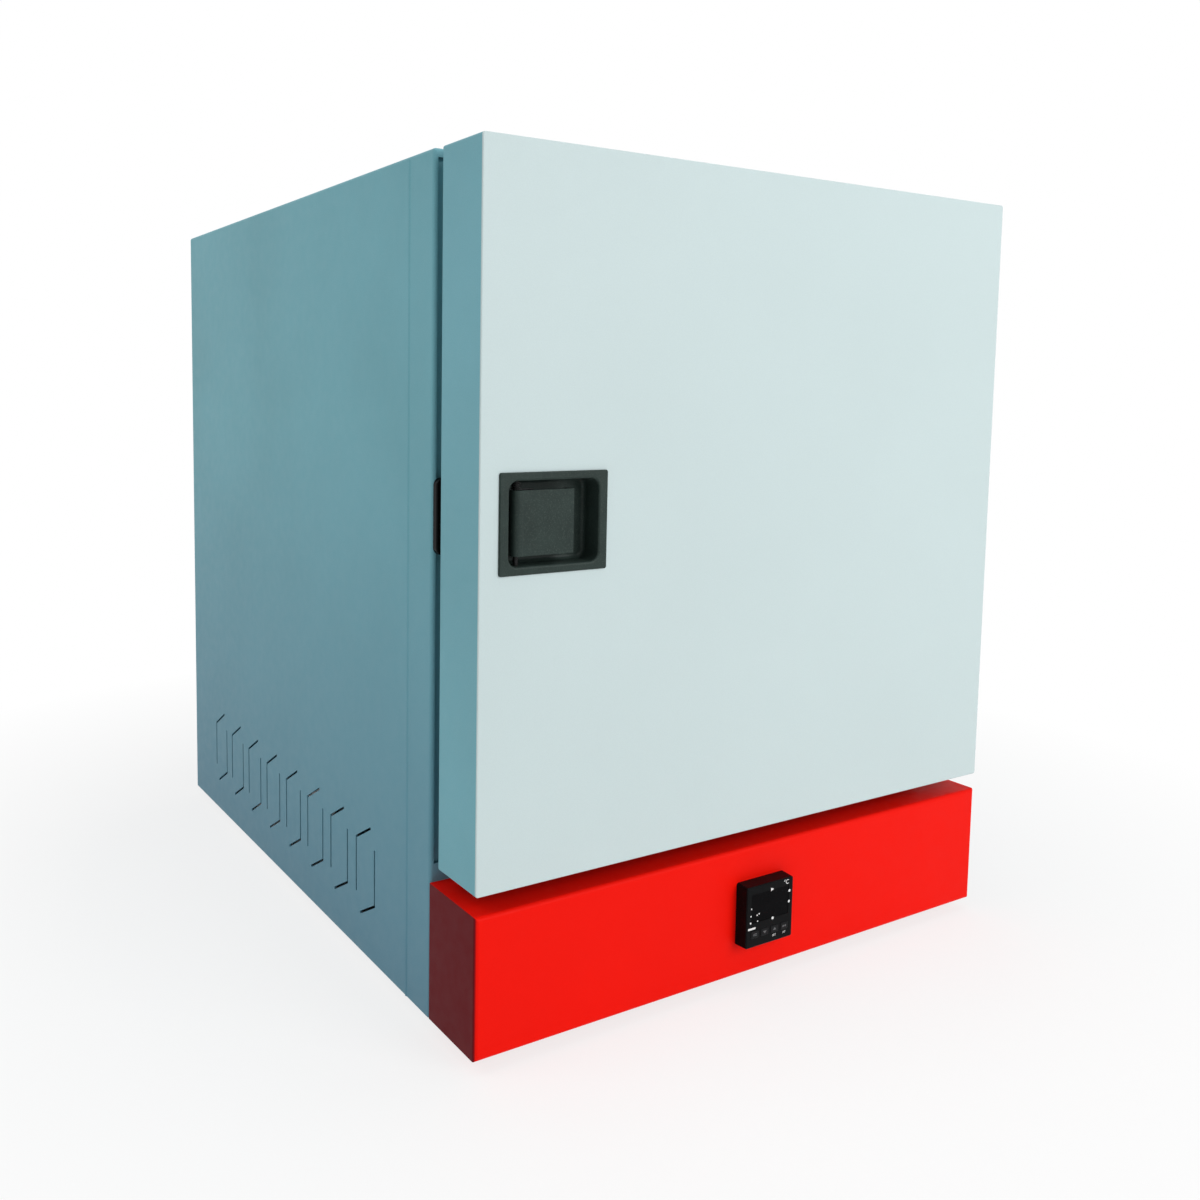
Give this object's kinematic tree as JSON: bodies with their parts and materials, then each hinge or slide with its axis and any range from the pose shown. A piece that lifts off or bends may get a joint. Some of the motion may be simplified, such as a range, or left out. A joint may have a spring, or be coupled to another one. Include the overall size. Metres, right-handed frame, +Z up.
{
  "type": "laboratory drying oven",
  "caption": "Bench-top laboratory drying oven with a solid insulated door on side hinges, a flush paddle latch, a controller panel below, wire shelves and a fan-stirred chamber.",
  "frame": {"origin": "on the bench, at mid width and at mid depth from the door's front to the rear cover's back", "axes": "+X to the right seen from the front, +Y from the door towards the rear cover, +Z up"},
  "size_m": [0.5097, 0.6258, 0.604],
  "materials": {
    "teal_paint": "fine textured powder coat",
    "pale_paint": "fine textured powder coat",
    "red_paint": "smooth gloss enamel",
    "galvanised": "plain zinc coat",
    "stainless": "brushed",
    "shelf_wire": "bright plated",
    "insulation": "mineral wool",
    "gasket": "matt silicone",
    "foot_rubber": "matt",
    "controller_plastic": "glossy moulded",
    "key_plastic": "satin moulded",
    "display_window": "clear tinted window",
    "board": "lacquered board",
    "latch_paint": "fine grained coat",
    "keeper_plastic": "glossy moulded",
    "zinc": "zinc plated",
    "pin_steel": "ground",
    "spring_steel": "drawn wire",
    "fan_sheet": "pressed sheet",
    "heater_sheath": "heat darkened",
    "motor_steel": "dark enamel",
    "sink_aluminium": "extruded",
    "relay_plastic": "moulded",
    "block_plastic": "moulded",
    "inlet_plastic": "moulded",
    "inlet_brass": "nickelled"
  },
  "bodies": {
    "oven_body": {"outer_casing": "teal_paint", "front_frame": "teal_paint", "base_plate": "galvanised", "feet": "foot_rubber", "foot_screws": "zinc", "bay_divider": "galvanised", "rear_cover": "teal_paint", "rear_cover_screws": "zinc", "control_panel": "red_paint", "controller_bezel": "controller_plastic", "controller_display": "display_window", "controller_board": "board", "controller_housing": "key_plastic", "controller_clamp": "key_plastic", "chamber": "stainless", "chamber_insulation": "insulation", "left_shelf_runners": "stainless", "right_shelf_runners": "stainless", "air_baffle": "stainless", "heater_element": "heater_sheath", "temperature_probe": "stainless", "exhaust_duct": "stainless", "shutter_pin": "zinc", "motor_bracket": "galvanised", "fan_motor": "motor_steel", "heat_sink": "sink_aluminium", "solid_state_relay": "relay_plastic", "terminal_block": "block_plastic", "power_inlet": "inlet_plastic", "inlet_pins": "inlet_brass", "fuse_carrier": "inlet_plastic", "keeper": "keeper_plastic", "keeper_screws": "zinc", "body_hinge_leaves": "zinc", "body_hinge_screws": "zinc"},
    "door": {"door_skin": "pale_paint", "door_shell": "teal_paint", "door_insulation": "insulation", "door_liner": "stainless", "door_liner_screws": "zinc", "door_gasket": "gasket", "door_hinge_leaves": "zinc", "door_hinge_screws": "zinc", "hinge_pins": "pin_steel", "latch_pan": "latch_paint", "latch_pin": "pin_steel", "latch_guide": "zinc", "latch_spring": "spring_steel"},
    "latch_handle": {"latch_paddle": "latch_paint"},
    "bolt": {"latch_bolt": "zinc"},
    "lower_shelf_tray": {"lower_shelf": "shelf_wire"},
    "upper_shelf_tray": {"upper_shelf": "shelf_wire"},
    "fan": {"fan_impeller": "fan_sheet", "fan_shaft": "pin_steel"},
    "shutter": {"vent_shutter": "galvanised"},
    "rocker": {"power_rocker": "controller_plastic"},
    "key_1": {"controller_key_1": "key_plastic"},
    "key_2": {"controller_key_2": "key_plastic"},
    "key_3": {"controller_key_3": "key_plastic"},
    "key_4": {"controller_key_4": "key_plastic"}
  },
  "joints": [
    {"name": "door_hinge", "type": "hinge", "parent": "oven_body", "child": "door", "pos_m": [0.2545, -0.246, 0.36225], "axis": [0, 0, 1], "range_deg": [0, 180]},
    {"name": "paddle_pivot", "type": "hinge", "parent": "door", "child": "latch_handle", "pos_m": [-0.2195, -0.29625, 0.36225], "axis": [0, 0, -1], "range_deg": [0, 30], "stiffness_Nm_per_rad": 0.2, "springref_deg": -17.19},
    {"name": "bolt_slide", "type": "slide", "parent": "door", "child": "bolt", "axis": [1, 0, 0], "range_m": [0, 0.0084]},
    {"name": "lower_shelf_slide", "type": "slide", "parent": "oven_body", "child": "lower_shelf_tray", "axis": [0, -1, 0], "range_m": [0, 0.012]},
    {"name": "upper_shelf_slide", "type": "slide", "parent": "oven_body", "child": "upper_shelf_tray", "axis": [0, -1, 0], "range_m": [0, 0.012]},
    {"name": "fan_spin", "type": "hinge", "parent": "oven_body", "child": "fan", "pos_m": [0, 0.16, 0.36225], "axis": [0, 1, 0], "continuous": true},
    {"name": "vent_shutter_turn", "type": "hinge", "parent": "oven_body", "child": "shutter", "pos_m": [-0.122, 0.3033, 0.48425], "axis": [0, 1, 0], "range_deg": [0, 60]},
    {"name": "power_rocker_tilt", "type": "hinge", "parent": "oven_body", "child": "rocker", "pos_m": [0.165, 0.30275, 0.074], "axis": [1, 0, 0], "range_deg": [0, 16]},
    {"name": "key_1_press", "type": "slide", "parent": "oven_body", "child": "key_1", "axis": [0, 1, 0], "range_m": [0, 0.0008], "stiffness_N_per_m": 400, "springref_m": -0.0005},
    {"name": "key_2_press", "type": "slide", "parent": "oven_body", "child": "key_2", "axis": [0, 1, 0], "range_m": [0, 0.0008], "stiffness_N_per_m": 400, "springref_m": -0.0005},
    {"name": "key_3_press", "type": "slide", "parent": "oven_body", "child": "key_3", "axis": [0, 1, 0], "range_m": [0, 0.0008], "stiffness_N_per_m": 400, "springref_m": -0.0005},
    {"name": "key_4_press", "type": "slide", "parent": "oven_body", "child": "key_4", "axis": [0, 1, 0], "range_m": [0, 0.0008], "stiffness_N_per_m": 400, "springref_m": -0.0005}
  ],
  "couplings": [
    {"joint": "bolt_slide", "follows": "paddle_pivot", "m_per_rad": 0.016}
  ]
}
